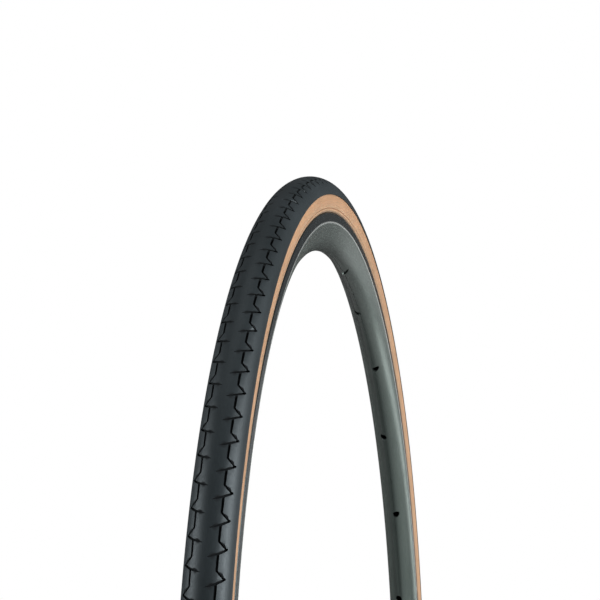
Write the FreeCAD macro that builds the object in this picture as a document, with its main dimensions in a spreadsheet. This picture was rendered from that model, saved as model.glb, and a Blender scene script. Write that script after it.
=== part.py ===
"""A 700 x 25C clincher road tire on its bare 28-hole rim, with its inner tube and Presta valve.

The wheel axis is Y, the origin is the wheel's centre and the valve points up from the lowest point of
the rim. Lengths are millimetres. A section is drawn in the YZ plane: its first coordinate is the
distance from the wheel's middle plane, its second the distance from the wheel's axis.
"""
import FreeCAD, Part
import Sketcher
import math
import os
import re

document = FreeCAD.newDocument("BicycleTire")

# ---------------------------------------------------------------- driving dimensions
SIZES = [
    # tire
    ("bead_seat_diameter", 622.0),
    ("tire_height", 25.0),          # bead seat to crown of the tread
    ("tire_width", 22.4),
    ("tread_thickness", 2.6),       # at the crown
    ("tread_edge_angle", 87.0),     # from the crown, round the tread's own arc
    ("tread_step", 0.2),            # how far the tread's round stands proud of the sidewall's
    ("sidewall_thickness", 0.65),
    ("ply_thickness", 0.45),
    ("bead_wire_diameter", 1.9),
    ("chafer_thickness", 0.4),
    ("chafer_top", 8.2),            # above the bead seat
    ("chafer_toe", 1.6),
    ("chafer_lift", 0.3),           # its lip, above the flange
    ("flank_rise", 1.6),            # of the chafer's upright flank, above the flange
    ("flank_round", 2.0),
    ("heel_drop", 0.3),             # of the chafer's heel, below the flange
    ("knee_rise", 0.2),             # of the casing's knee, above the flange
    ("knee_step", 0.09),            # from one ply's knee to the next
    ("bead_clearance", 0.05),
    # rim
    ("rim_width", 19.8),            # across the brake tracks
    ("rim_depth", 17.5),            # bead seat to nose
    ("flange_height", 4.0),
    ("flange_thickness", 1.45),
    ("flange_round", 0.6),
    ("ridge_drop", 1.5),            # lower edge of the brake track, below the bead seat
    ("ridge_proud", 0.1),
    ("ridge_bevel", 0.2),
    ("wall_angle", 76.0),           # of the side wall at the brake track
    ("wall_thickness", 1.4),
    ("nose_round", 3.1),
    ("bed_thickness", 1.4),
    ("bed_fillet", 0.7),
    ("well_depth", 2.6),
    ("well_margin", 0.2),
    ("hump_clearance", 0.2),        # from a bead's toe to the edge of the well
    ("spoke_holes", 28),
    ("spoke_hole_diameter", 4.4),
    ("spoke_hole_stagger", 1.3),
    ("access_hole_diameter", 7.0),
    ("sleeve_length", 46.0),
    ("sleeve_clearance", 0.1),
    # tape and tube
    ("tape_thickness", 0.6),
    ("tape_clearance", 0.1),
    ("tube_clearance", 0.15),
    ("tube_lean", 0.334),           # how much more than the well's slope the tube's side leans in
    ("tube_edge_gap", 0.043),       # from the tube's side to the edge of the well
    ("tube_wall", 0.9),
    ("boot_thickness", 1.3),
    ("boot_width", 0.5),
    ("boot_flare", 0.3),
    ("boot_clearance", 0.05),
    # valve
    ("stem_diameter", 6.0),
    ("stem_length", 38.0),
    ("stem_neck_step", 0.4),
    ("stem_neck_length", 4.5),
    ("stem_clearance", 0.05),
    ("valve_hole_clearance", 0.25),
    ("core_depth", 15.0),
    ("core_clearance", 0.03),
    ("core_head_diameter", 4.2),
    ("core_head_length", 4.5),
    ("core_shoulder", 1.1),         # round part of the head, below its flats
    ("core_flats", 3.5),
    ("core_gasket_height", 1.0),
    ("core_gasket_width", 0.5),
    ("pin_diameter", 1.9),
    ("pin_clearance", 0.05),
    ("pin_overhang", 2.0),          # of the pin's tip past its lock nut
    ("pin_head_height", 0.95),
    ("pin_tip_bevel", 0.475),
    ("pin_seal_width", 0.35),
    ("pin_seal_length", 1.9),
    ("pin_seal_clearance", 0.2),
    ("pin_seal_gap", 0.05),         # from the seal to the core it closes
    ("pin_seal_taper", 0.6),
    ("pin_seal_nose", 0.12),        # how much the seal narrows towards the core
    ("lock_nut_diameter", 3.8),
    ("lock_nut_height", 3.2),
    ("lock_nut_gap", 0.1),
    ("lock_nut_cone_height", 1.1),
    ("lock_nut_cone_width", 0.65),
    ("rim_nut_diameter", 12.0),
    ("rim_nut_height", 4.0),
    ("rim_nut_gap", 0.1),
    ("rim_nut_ribs", 24),
    ("rim_nut_groove", 0.7),        # between two ribs
    ("rim_nut_foot_bevel", 0.7),
    ("rim_nut_top_bevel", 0.35),
    ("cap_wall", 0.9),
    ("cap_overlap", 2.2),
    ("cap_clearance", 0.15),
    ("cap_end", 1.6),
]

sheet = document.addObject("Spreadsheet::Sheet", "Sizes")
for row, (name, number) in enumerate(SIZES, start=1):
    sheet.set(f"A{row}", name)
    sheet.set(f"B{row}", str(number))
    sheet.setAlias(f"B{row}", name)
document.recompute()
size_names = {name for name, number in SIZES}

# ---------------------------------------------------------------- places worked out from them
LAYOUT = {
    "seat": "bead_seat_diameter / 2",
    # tread and sidewall
    "tread_round": "tire_width / 2",
    "tread_centre": "seat + tire_height - tread_round",
    "edge_v": "tread_round * sin(tread_edge_angle * 1 deg)",
    "edge_r": "tread_centre + tread_round * cos(tread_edge_angle * 1 deg)",
    "casing_round": "tread_round - tread_step - sidewall_thickness",
    "casing_centre": "seat + tire_height - tread_thickness - casing_round",
    "edge_casing_v": "sqrt(casing_round ^ 2 - (edge_r - casing_centre) ^ 2)",
    "sidewall_round": "casing_round + sidewall_thickness",
    "side_v": "sqrt(sidewall_round ^ 2 - (edge_r - casing_centre) ^ 2)",
    "strip_r": "seat + chafer_top",
    "strip_v": "sqrt(sidewall_round ^ 2 - (strip_r - casing_centre) ^ 2)",
    "flank_v": "rim_width / 2 - bead_clearance",
    "flank_r": "flange_r + flank_rise",
    "strip_casing_v": "sqrt(casing_round ^ 2 - (strip_r - casing_centre) ^ 2)",
    "strip_cos": "strip_casing_v / casing_round",
    "strip_sin": "(casing_centre - strip_r) / casing_round",
    # bead, from the flange's inner face towards the middle plane
    "channel_v": "rim_width / 2 - flange_thickness",
    "heel_v": "channel_v - bead_clearance",
    "outer_ply_v": "heel_v - chafer_thickness",
    "wire_side_v": "outer_ply_v - ply_thickness",
    "wire_v": "wire_side_v - bead_wire_diameter / 2",
    "inner_ply_v": "wire_side_v - bead_wire_diameter",
    "ply_toe_v": "inner_ply_v - ply_thickness",
    "toe_v": "ply_toe_v - chafer_thickness",
    "sole_r": "seat + bead_clearance",
    "foot_r": "sole_r + chafer_thickness",
    "wire_sole_r": "foot_r + ply_thickness",
    "wire_r": "wire_sole_r + bead_wire_diameter / 2",
    "throat_r": "wire_r + bead_wire_diameter / 2 + ply_thickness / 2",
    # rim
    "flange_r": "seat + flange_height",
    "track_v": "rim_width / 2",
    "ridge_v": "track_v + ridge_proud",
    "ridge_r": "seat - ridge_drop",
    "nose_r": "seat - rim_depth",
    "nose_centre": "nose_r + nose_round",
    "wall_round": "(ridge_v ^ 2 + (ridge_r - nose_centre) ^ 2 - nose_round ^ 2)"
                  " / (2 * (ridge_v * sin(wall_angle * 1 deg)"
                  " - (ridge_r - nose_centre) * cos(wall_angle * 1 deg) - nose_round))",
    "wall_centre_v": "ridge_v - wall_round * sin(wall_angle * 1 deg)",
    "wall_centre_r": "ridge_r + wall_round * cos(wall_angle * 1 deg)",
    "well_r": "seat - well_depth",
    "well_half_width": "max(access_hole_diameter / 2; stem_diameter / 2 + boot_width) + well_margin",
    "well_edge_v": "toe_v - hump_clearance",
    "well_slope": "(well_edge_v - well_half_width) / well_depth",
    "cavity_r": "seat - rim_depth / 2",
    "tangent": "wall_round / (wall_round - nose_round)",
    # tape, tube and valve; "base" is the stem's inner end, flush with the tube's inner face
    "tape_r": "well_r + tape_thickness",
    "tube_r": "tape_r + boot_thickness + 2 * boot_clearance",
    "base": "tube_r + tube_wall",
    "tube_slope": "well_slope + tube_lean",
    "tube_edge_r": "seat + (hump_clearance - tube_clearance"
                   " + tube_edge_gap * sqrt(1 + tube_slope ^ 2)) / tube_slope",
    "stem_end": "base - stem_length",
    "core_inner_end": "stem_end + core_depth",
    "core_outer_end": "stem_end - core_head_length",
    "pin_tip": "core_outer_end - lock_nut_gap - lock_nut_height - pin_overhang",
    "cap_mouth": "stem_end + cap_overlap",
    "stem_bore": "stem_diameter / 2 + stem_clearance",
    "neck_round": "stem_diameter / 2 - stem_neck_step",
    "air_bore": "pin_diameter / 2 + pin_seal_width + pin_seal_clearance",
    "core_bore": "air_bore + core_gasket_width",
    "pin_bore": "pin_diameter / 2 + pin_clearance",
    "seal_outer": "core_inner_end + pin_seal_gap",
    "seal_inner": "seal_outer + pin_seal_length",
    "seal_round": "pin_diameter / 2 + pin_seal_width",
    "lock_nut_foot": "core_outer_end - lock_nut_gap",
    "rim_nut_foot": "nose_r - rim_nut_gap",
    "cap_bore": "neck_round + cap_clearance",
    "cap_inner": "max(core_head_diameter; lock_nut_diameter) / 2 + cap_clearance",
    "cap_tip": "pin_tip - cap_clearance - cap_end",
}


def formula(text):
    """Spell a length out in the sheet's own cells."""
    def spell(word):
        name = word.group(0)
        if name in LAYOUT:
            return "(" + formula(LAYOUT[name]) + ")"
        if name in size_names:
            return "Sizes." + name
        return name
    return re.sub(r"[a-z][a-z_]*", spell, text)


def value(text):
    """The number that a formula gives with the sheet as it stands."""
    found = sheet.evalExpression(formula(text))
    return float(getattr(found, "Value", found))


# ---------------------------------------------------------------- drawing and making
def origin_feature(body, role):
    return [feature for feature in body.Origin.OriginFeatures if feature.Role == role][0]


def new_body(node):
    body = document.addObject("PartDesign::Body", node)
    body.Label = node
    return body


def new_sketch(body, name, role="YZ_Plane"):
    sketch = body.newObject("Sketcher::SketchObject", name)
    sketch.AttachmentSupport = (origin_feature(body, role), "")
    sketch.MapMode = "FlatFace"
    return sketch


def bind_point(sketch, edge, end, across, up):
    """Hold one point at its two formulas, measured from the sketch's origin."""
    for kind, text, axis in (("DistanceX", across, -2), ("DistanceY", up, -1)):
        if text == "0":
            sketch.addConstraint(Sketcher.Constraint("PointOnObject", edge, end, axis))
            continue
        index = sketch.addConstraint(Sketcher.Constraint(kind, -1, 1, edge, end, value(text)))
        sketch.setExpression(f"Constraints[{index}]", formula(text))


def bind_size(sketch, constraint, text):
    index = sketch.addConstraint(constraint)
    sketch.setExpression(f"Constraints[{index}]", formula(text))


def arc_between(start, end, radius, left):
    """The shorter arc from start to end, bulging to the left or to the right of the way along it."""
    chord = end.sub(start)
    apothem = math.sqrt(max(radius ** 2 - (chord.Length / 2) ** 2, 0.0))
    turn = -1.0 if left else 1.0
    normal = FreeCAD.Vector(-chord.y, chord.x, 0).normalize()
    centre = (start + end) * 0.5 + normal * (apothem * turn)
    circle = Part.Circle(centre, FreeCAD.Vector(0, 0, 1), radius)
    first, last = (end, start) if left else (start, end)
    return Part.ArcOfCircle(circle, circle.parameter(first), circle.parameter(last))


def major_arc(start, end, radius):
    """The longer arc, anticlockwise from start to end, whose centre is the sketch side of the chord."""
    chord = end.sub(start)
    apothem = math.sqrt(max(radius ** 2 - (chord.Length / 2) ** 2, 0.0))
    normal = FreeCAD.Vector(-chord.y, chord.x, 0).normalize()
    centre = (start + end) * 0.5 - normal * apothem
    circle = Part.Circle(centre, FreeCAD.Vector(0, 0, 1), radius)
    return Part.ArcOfCircle(circle, circle.parameter(start), circle.parameter(end))


def outline(sketch, corners):
    """Draw a closed loop. A corner is (across, up), or (across, up, bend, radius) where the edge
    that leaves it is an arc: bend is "left", "right", or "round" for a major arc run anticlockwise,
    and "back" for the same arc run clockwise."""
    points = [FreeCAD.Vector(value(corner[0]), value(corner[1]), 0) for corner in corners]
    edges = []
    for number, corner in enumerate(corners):
        start = points[number]
        end = points[(number + 1) % len(points)]
        if len(corner) == 2:
            edges.append((sketch.addGeometry(Part.LineSegment(start, end), False), 1, 2))
            continue
        bend, radius = corner[2], value(corner[3])
        if bend == "round":
            shape, first, last = major_arc(start, end, radius), 1, 2
        elif bend == "back":
            shape, first, last = major_arc(end, start, radius), 2, 1
        elif bend == "left":
            shape, first, last = arc_between(start, end, radius, True), 2, 1
        else:
            shape, first, last = arc_between(start, end, radius, False), 1, 2
        edges.append((sketch.addGeometry(shape, False), first, last))
    for number, (edge, first, last) in enumerate(edges):
        after = edges[(number + 1) % len(edges)]
        sketch.addConstraint(Sketcher.Constraint("Coincident", edge, last, after[0], after[1]))
    for (edge, first, last), corner in zip(edges, corners):
        bind_point(sketch, edge, first, corner[0], corner[1])
        if len(corner) == 4:
            bind_size(sketch, Sketcher.Constraint("Radius", edge, value(corner[3])), corner[3])


def opposite(text):
    return "-(" + text + ")"


def mirrored(corners):
    """A loop that is the same both sides of the wheel's middle plane, from its corners on the +Y side.
    An arc that leaves a corner there leaves the next corner's twin on the other side."""
    twins = []
    for number in range(len(corners) - 1, -1, -1):
        across, up = corners[number][:2]
        arc = corners[number - 1][2:] if number else ()
        twins.append((opposite(across), up) + arc)
    return corners + twins


def revolve(body, sketch, axis="H_Axis"):
    turn = body.newObject("PartDesign::Revolution", "Revolution")
    turn.Profile = sketch
    turn.ReferenceAxis = (sketch, [axis])
    turn.Angle = 360
    return turn


def ring(node, *loops):
    """A piece of revolution about the wheel's axis."""
    body = new_body(node)
    sketch = new_sketch(body, "Section")
    for loop in loops:
        outline(sketch, loop)
    revolve(body, sketch)
    return body


def turned(node, *loops):
    """A piece of revolution about the valve's axis, which is the Z axis."""
    body = new_body(node)
    sketch = new_sketch(body, "Section")
    for loop in loops:
        outline(sketch, loop)
    revolve(body, sketch, "V_Axis")
    return body


def radial_circle(body, name, diameter, across="0", angle="0", distance="0"):
    """A circle facing along a radius of the wheel, at an angle from the top and a distance out."""
    sketch = new_sketch(body, name, "XY_Plane")
    sketch.AttachmentOffset = FreeCAD.Placement(
        FreeCAD.Vector(0, 0, 0), FreeCAD.Rotation(FreeCAD.Vector(0, 1, 0), value(angle)))
    if angle != "0":
        sketch.setExpression("AttachmentOffset.Rotation.Angle", formula(angle))
    if distance != "0":
        sketch.setExpression("AttachmentOffset.Base.x", formula(f"({distance}) * sin(({angle}) * 1 deg)"))
        sketch.setExpression("AttachmentOffset.Base.z", formula(f"({distance}) * cos(({angle}) * 1 deg)"))
    centre = FreeCAD.Vector(0, value(across), 0)
    circle = Part.Circle(centre, FreeCAD.Vector(0, 0, 1), value(diameter) / 2)
    edge = sketch.addGeometry(circle, False)
    bind_point(sketch, edge, 3, "0", across)
    bind_size(sketch, Sketcher.Constraint("Diameter", edge, value(diameter)), diameter)
    return sketch


def pocket(body, name, sketch, length, outward):
    cut = body.newObject("PartDesign::Pocket", name)
    cut.Profile = sketch
    cut.Type = 0
    cut.Reversed = outward
    cut.setExpression("Length", formula(length))
    body.Tip = cut
    return cut


def polar_pattern(body, name, originals, role, count):
    pattern = body.newObject("PartDesign::PolarPattern", name)
    pattern.Originals = originals
    pattern.Axis = (origin_feature(body, role), [""])
    pattern.Angle = 360
    pattern.setExpression("Occurrences", formula(count))
    body.Tip = pattern
    return pattern


def valve_hole(body):
    """The hole that the valve stem passes through, at the lowest point of the hoop."""
    circle = radial_circle(body, "ValveCircle", "stem_diameter + 2 * valve_hole_clearance")
    pocket(body, "ValveHole", circle, "tape_r + tape_thickness", False)


# ---------------------------------------------------------------- tire
def make_tread():
    """The rubber tread: a crescent, thickest at the crown, bonded over the casing."""
    return ring("tread", [
        ("edge_v", "edge_r", "right", "tread_round"),
        ("-edge_v", "edge_r"),
        ("-edge_casing_v", "edge_r", "left", "casing_round"),
        ("edge_casing_v", "edge_r"),
    ])


def make_sidewall(node, side):
    """The gum rubber skin between the tread's edge and the chafer, on one side."""
    bend, back = ("left", "right") if side > 0 else ("right", "left")
    return ring(node, [
        (f"{side} * edge_casing_v", "edge_r"),
        (f"{side} * side_v", "edge_r", bend, "sidewall_round"),
        (f"{side} * strip_v", "strip_r"),
        (f"{side} * strip_casing_v", "strip_r", back, "casing_round"),
    ])


def casing_point(depth):
    """Where the casing leaves its round, at a depth of that many plies below its outer face."""
    inside = f"(casing_round - {depth} * ply_thickness)"
    return f"{inside} * strip_cos", f"casing_centre - {inside} * strip_sin"


def knee(depth, across):
    """Where the casing's flank meets the bead, that many plies deep, at a distance across."""
    return across, f"flange_r + knee_rise + {depth} * knee_step"


def make_outer_ply():
    """The outer casing ply, bead to bead, turned under each bead wire."""
    outer = casing_point(0)
    inner = casing_point(1)
    half = [
        knee(0, "outer_ply_v"),
        ("outer_ply_v", "foot_r"),
        ("ply_toe_v", "foot_r"),
        ("ply_toe_v", "wire_sole_r"),
        ("wire_side_v", "wire_sole_r"),
        knee(1, "wire_side_v"),
    ]
    return ring("casing_outer_ply", over_the_top(outer, "casing_round", half, inner, 1))


def make_inner_ply():
    """The inner casing ply, which comes down on the inner side of each bead wire."""
    half = [
        knee(1, "wire_side_v"),
        ("inner_ply_v", "throat_r - ply_thickness / 2"),
        ("inner_ply_v", "wire_sole_r"),
        ("ply_toe_v", "wire_sole_r"),
        ("ply_toe_v", "throat_r"),
        knee(2, "wire_side_v - ply_thickness"),
    ]
    return ring("casing_inner_ply", over_the_top(casing_point(1), "casing_round - ply_thickness",
                                                 half, casing_point(2), 2))


def over_the_top(outer, outer_round, half, inner, depth):
    """A ply's whole section: over the crown, down to one bead, back over, and the other bead."""
    far = [(opposite(across), up) for across, up in half]
    return ([(opposite(outer[0]), outer[1], "back", outer_round), outer] + half
            + [inner + ("round", f"casing_round - {depth} * ply_thickness"),
               (opposite(inner[0]), inner[1])] + far[::-1])


def make_bead_wire(node, side):
    """A steel hoop in each bead, which holds the tire on the rim."""
    wire = document.addObject("Part::Torus", node)
    wire.Label = node
    wire.setExpression("Radius1", formula("wire_r"))
    wire.setExpression("Radius2", formula("bead_wire_diameter / 2"))
    wire.Placement.Rotation = FreeCAD.Rotation(FreeCAD.Vector(1, 0, 0), 90)
    wire.setExpression("Placement.Base.y", formula(f"{side} * wire_v"))
    return wire


def make_chafer(node, side):
    """The strip that wraps the bead and shows above the rim, where the rim would wear the casing."""
    bend = "left" if side > 0 else "right"
    corners = [
        ("strip_v", "strip_r"),
        ("flank_v", "flank_r", bend, "flank_round"),
        ("track_v - flange_round", "flange_r + chafer_lift"),
        ("heel_v", "flange_r - heel_drop"),
        ("heel_v", "sole_r"),
        ("toe_v", "sole_r"),
        ("toe_v", "seat + chafer_toe"),
        ("ply_toe_v", "seat + chafer_toe"),
        ("ply_toe_v", "foot_r"),
        ("outer_ply_v", "foot_r"),
        knee(0, "outer_ply_v"),
        ("strip_casing_v", "strip_r"),
    ]
    return ring(node, [(f"{side} * ({corner[0]})",) + corner[1:] for corner in corners])


# ---------------------------------------------------------------- rim
def cavity(gap):
    """The hollow of the rim's section, or a piece that fits it with a gap all round."""
    wall = f"(wall_thickness + {gap})"
    part = f"((wall_round - {wall}) / (wall_round - nose_round))"
    top = f"(ridge_r - bed_thickness - {gap})"
    half = [
        (f"well_half_width + {gap}", f"well_r - bed_thickness - {gap}"),
        (f"well_half_width + bed_thickness + {gap}", f"seat - bed_thickness - {gap}"),
        (f"channel_v - bed_fillet - {gap}", f"seat - bed_thickness - {gap}"),
        (f"wall_centre_v + sqrt((wall_round - {wall}) ^ 2 - ({top} - wall_centre_r) ^ 2)", top),
        (f"wall_centre_v * (1 - {part})", f"wall_centre_r + (nose_centre - wall_centre_r) * {part}"),
    ]
    far = [(opposite(across), up) for across, up in half]
    return [half[0], half[1], half[2],
            half[3] + ("left", f"wall_round - {wall}"),
            half[4] + ("left", f"nose_round - {wall}"),
            far[4] + ("left", f"wall_round - {wall}"),
            far[3], far[2], far[1], far[0]]


def make_rim():
    """An extruded aluminium box section, rolled to a hoop and drilled for spokes and valve."""
    half = [
        ("well_half_width", "well_r"),
        ("well_edge_v", "seat"),
        ("channel_v", "seat"),
        ("channel_v", "flange_r - flange_round", "left", "flange_round"),
        ("channel_v + flange_round", "flange_r"),
        ("track_v - flange_round", "flange_r", "left", "flange_round"),
        ("track_v", "flange_r - flange_round"),
        ("track_v", "ridge_r + ridge_bevel"),
        ("ridge_v", "ridge_r", "left", "wall_round"),
        ("wall_centre_v * (1 - tangent)",
         "wall_centre_r + (nose_centre - wall_centre_r) * tangent"),
    ]
    loop = mirrored(half)
    last = len(half) - 1
    loop[last] = loop[last] + ("left", "nose_round")
    body = ring("rim", loop, cavity("0"))
    for side, word in ((1, "Left"), (-1, "Right")):
        angle = f"{-side} * 180 / spoke_holes"
        spoke_circle = radial_circle(body, f"SpokeCircle{word}", "spoke_hole_diameter",
                                     f"{side} * spoke_hole_stagger", angle, "cavity_r")
        spoke = pocket(body, f"SpokeHole{word}", spoke_circle, "rim_depth", False)
        access_circle = radial_circle(body, f"AccessCircle{word}", "access_hole_diameter", "0",
                                      angle, "cavity_r")
        access = pocket(body, f"AccessHole{word}", access_circle, "rim_depth", True)
        polar_pattern(body, f"Holes{word}", [spoke, access], "Y_Axis", "spoke_holes / 2")
    valve_hole(body)
    return body


def make_rim_joint_sleeve():
    """The plug pressed into the rim's hollow across its seam, opposite the valve."""
    body = new_body("rim_joint_sleeve")
    sketch = new_sketch(body, "Section")
    outline(sketch, cavity("sleeve_clearance"))
    turn = revolve(body, sketch)
    turn.Midplane = True
    turn.setExpression("Angle", formula("sleeve_length / cavity_r * 180 / pi"))
    return body


def make_rim_tape():
    """A woven strip in the rim's well, which keeps the tube off the access holes."""
    body = ring("rim_tape", [
        ("well_half_width - tape_clearance", "well_r"),
        ("well_half_width - tape_clearance", "tape_r"),
        ("-(well_half_width - tape_clearance)", "tape_r"),
        ("-(well_half_width - tape_clearance)", "well_r"),
    ])
    valve_hole(body)
    return body


# ---------------------------------------------------------------- tube and valve
def tube_loop(inset):
    """The inflated tube's section, inset from its outer face: it fills casing and rim channel. The
    inset loop's lower corners come in by a part of the inset, as the wall slopes there."""
    inside = f"(casing_round - 2 * ply_thickness - tube_clearance - {inset})"
    neck = f"toe_v - tube_clearance - {inset}"
    knee_v, knee_r = knee(2, "wire_side_v - ply_thickness")
    half = [
        (f"{inside} * strip_cos", f"casing_centre - {inside} * strip_sin"),
        (f"{knee_v} - tube_clearance - {inset}", f"({knee_r}) + tube_clearance + {inset} / 4"),
        (neck, f"throat_r + {inset} / 2"),
        (neck, f"tube_edge_r + {inset} / 2"),
        (f"{neck} - tube_slope * (tube_edge_r - tube_r)", f"tube_r + {inset}"),
    ]
    far = [(opposite(across), up) for across, up in half]
    return [far[0] + ("back", inside)] + half + far[:0:-1]


def make_inner_tube():
    """A closed butyl tube, with the hole that its valve stem comes out of."""
    body = ring("inner_tube", tube_loop("0"), tube_loop("tube_wall"))
    pocket(body, "ValveHole",
           radial_circle(body, "ValveCircle", "2 * stem_bore"),
           "base + tube_wall / 2", False)
    return body


def make_valve_boot():
    """The rubber patch that is vulcanised to the tube round the valve."""
    return turned("valve_boot", [
        ("stem_bore", "-(tube_r - boot_clearance)"),
        ("stem_bore + boot_width + boot_flare", "-(tube_r - boot_clearance)"),
        ("stem_bore + boot_width", "-(tube_r - boot_clearance - boot_thickness)"),
        ("stem_bore", "-(tube_r - boot_clearance - boot_thickness)"),
    ])


def make_valve_stem():
    """The threaded brass tube of the valve, moulded into the boot and open into the inner tube."""
    return turned("valve_stem", [
        ("air_bore", "-base"),
        ("stem_diameter / 2", "-base"),
        ("stem_diameter / 2", "-(stem_end + stem_neck_length)"),
        ("neck_round", "-(stem_end + stem_neck_length)"),
        ("neck_round", "-stem_end"),
        ("core_bore", "-stem_end"),
        ("core_bore", "-(core_inner_end + core_gasket_height)"),
        ("air_bore", "-(core_inner_end + core_gasket_height)"),
    ])


def make_valve_rim_nut():
    """The ribbed ring nut that pulls the stem tight against the rim's nose."""
    body = turned("valve_rim_nut", [
        ("stem_bore", "-rim_nut_foot"),
        ("rim_nut_diameter / 2 - rim_nut_foot_bevel", "-rim_nut_foot"),
        ("rim_nut_diameter / 2", "-rim_nut_foot + rim_nut_foot_bevel"),
        ("rim_nut_diameter / 2", "-(rim_nut_foot - rim_nut_height + rim_nut_top_bevel)"),
        ("rim_nut_diameter / 2 - rim_nut_top_bevel", "-(rim_nut_foot - rim_nut_height)"),
        ("stem_bore", "-(rim_nut_foot - rim_nut_height)"),
    ])
    groove_circle = radial_circle(body, "GrooveCircle", "rim_nut_groove", "rim_nut_diameter / 2")
    groove = pocket(body, "Groove", groove_circle, "nose_r", False)
    polar_pattern(body, "Ribs", [groove], "Z_Axis", "rim_nut_ribs")
    return body


def make_valve_core_body():
    """The screw-in core that carries the pin, with two flats for a core key."""
    body = turned("valve_core_body", [
        ("pin_bore", "-core_inner_end"),
        ("core_bore - core_clearance", "-core_inner_end"),
        ("core_bore - core_clearance", "-stem_end"),
        ("core_head_diameter / 2", "-stem_end"),
        ("core_head_diameter / 2", "-core_outer_end"),
        ("pin_bore", "-core_outer_end"),
    ])
    flat = new_sketch(body, "Flat")
    outline(flat, [
        ("core_flats / 2", "-(stem_end - core_shoulder)"),
        ("core_head_diameter", "-(stem_end - core_shoulder)"),
        ("core_head_diameter", "-core_outer_end + core_clearance"),
        ("core_flats / 2", "-core_outer_end + core_clearance"),
    ])
    cut = pocket(body, "FlatCut", flat, "core_head_diameter * 2", False)
    cut.Midplane = True
    mirror = body.newObject("PartDesign::Mirrored", "Flats")
    mirror.Originals = [cut]
    mirror.MirrorPlane = (origin_feature(body, "XZ_Plane"), [""])
    body.Tip = mirror
    return body


def make_valve_core_gasket():
    """The rubber ring that seals the core against the shoulder inside the stem."""
    return turned("valve_core_gasket", [
        ("air_bore", "-core_inner_end"),
        ("air_bore", "-(core_inner_end + core_gasket_height)"),
        ("core_bore - core_clearance", "-(core_inner_end + core_gasket_height)"),
        ("core_bore - core_clearance", "-core_inner_end"),
    ])


def make_valve_core_pin():
    """The steel pin that runs through the core, with a head that holds its seal."""
    return turned("valve_core_pin", [
        ("0", "-(seal_inner + pin_head_height)"),
        ("seal_round", "-(seal_inner + pin_head_height)"),
        ("seal_round", "-seal_inner"),
        ("pin_diameter / 2", "-seal_inner"),
        ("pin_diameter / 2", "-(pin_tip + pin_tip_bevel)"),
        ("pin_diameter / 2 - pin_tip_bevel", "-pin_tip"),
        ("0", "-pin_tip"),
    ])


def make_valve_core_seal():
    """The rubber collar on the pin that closes the core's inner end."""
    return turned("valve_core_seal", [
        ("pin_diameter / 2", "-seal_inner"),
        ("seal_round", "-seal_inner"),
        ("seal_round", "-(seal_outer + pin_seal_taper)"),
        ("seal_round - pin_seal_nose", "-seal_outer"),
        ("pin_diameter / 2", "-seal_outer"),
    ])


def make_valve_core_nut():
    """The small knurled nut that locks the pin shut."""
    return turned("valve_core_nut", [
        ("pin_bore", "-lock_nut_foot"),
        ("lock_nut_diameter / 2", "-lock_nut_foot"),
        ("lock_nut_diameter / 2", "-(lock_nut_foot - lock_nut_height + lock_nut_cone_height)"),
        ("lock_nut_diameter / 2 - lock_nut_cone_width", "-(lock_nut_foot - lock_nut_height)"),
        ("pin_bore", "-(lock_nut_foot - lock_nut_height)"),
    ])


def make_valve_cap():
    """A moulded cap that slips over the stem's neck and keeps dirt out of the core."""
    return turned("valve_cap", [
        ("cap_bore", "-cap_mouth"),
        ("cap_bore + cap_wall", "-cap_mouth"),
        ("cap_bore + cap_wall", "-core_outer_end"),
        ("cap_inner + cap_wall", "-(cap_tip + cap_end)", "right", "cap_end"),
        ("cap_inner + cap_wall - cap_end", "-cap_tip"),
        ("0", "-cap_tip"),
        ("0", "-(cap_tip + cap_end)"),
        ("cap_inner", "-(cap_tip + cap_end)"),
        ("cap_inner", "-core_outer_end"),
        ("cap_bore", "-(core_outer_end + cap_wall)"),
    ])


parts = [
    make_tread(),
    make_sidewall("sidewall_left", 1),
    make_sidewall("sidewall_right", -1),
    make_outer_ply(),
    make_inner_ply(),
    make_bead_wire("bead_wire_left", 1),
    make_bead_wire("bead_wire_right", -1),
    make_chafer("chafer_left", 1),
    make_chafer("chafer_right", -1),
    make_rim(),
    make_rim_joint_sleeve(),
    make_rim_tape(),
    make_inner_tube(),
    make_valve_boot(),
    make_valve_stem(),
    make_valve_rim_nut(),
    make_valve_core_body(),
    make_valve_core_gasket(),
    make_valve_core_pin(),
    make_valve_core_seal(),
    make_valve_core_nut(),
    make_valve_cap(),
]
document.recompute()

# ---------------------------------------------------------------- checks and files
for item in document.Objects:
    failed = [word for word in item.State if word in ("Invalid", "Error")]
    if failed:
        raise RuntimeError(f"{item.Label} failed: {failed}")
os.makedirs("parts", exist_ok=True)
for part in parts:
    shape = part.Shape
    if shape.isNull() or not shape.isValid() or not shape.Solids:
        raise RuntimeError(f"{part.Label} has no valid solid")
for part in parts:
    part.Shape.exportStep(f"parts/{part.Label}.step")
    box = part.Shape.BoundBox
    print(f"{part.Label:20s} solids {len(part.Shape.Solids)} volume {part.Shape.Volume:10.1f} mm3"
          f"  box {box.XLength:.2f} {box.YLength:.2f} {box.ZLength:.2f}")
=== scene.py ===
"""A 700 x 25C road tire with tan sidewalls on its bare rim, with inner tube and slim valve.

The wheel stands upright with its axis along Y, and the valve is at its lowest point. Sections are
given as (across, out): the distance from the wheel's middle plane and from its axis, in millimetres.
"""
import bpy
import math
import numpy as np
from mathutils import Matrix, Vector
from mathutils.geometry import delaunay_2d_cdt


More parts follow.
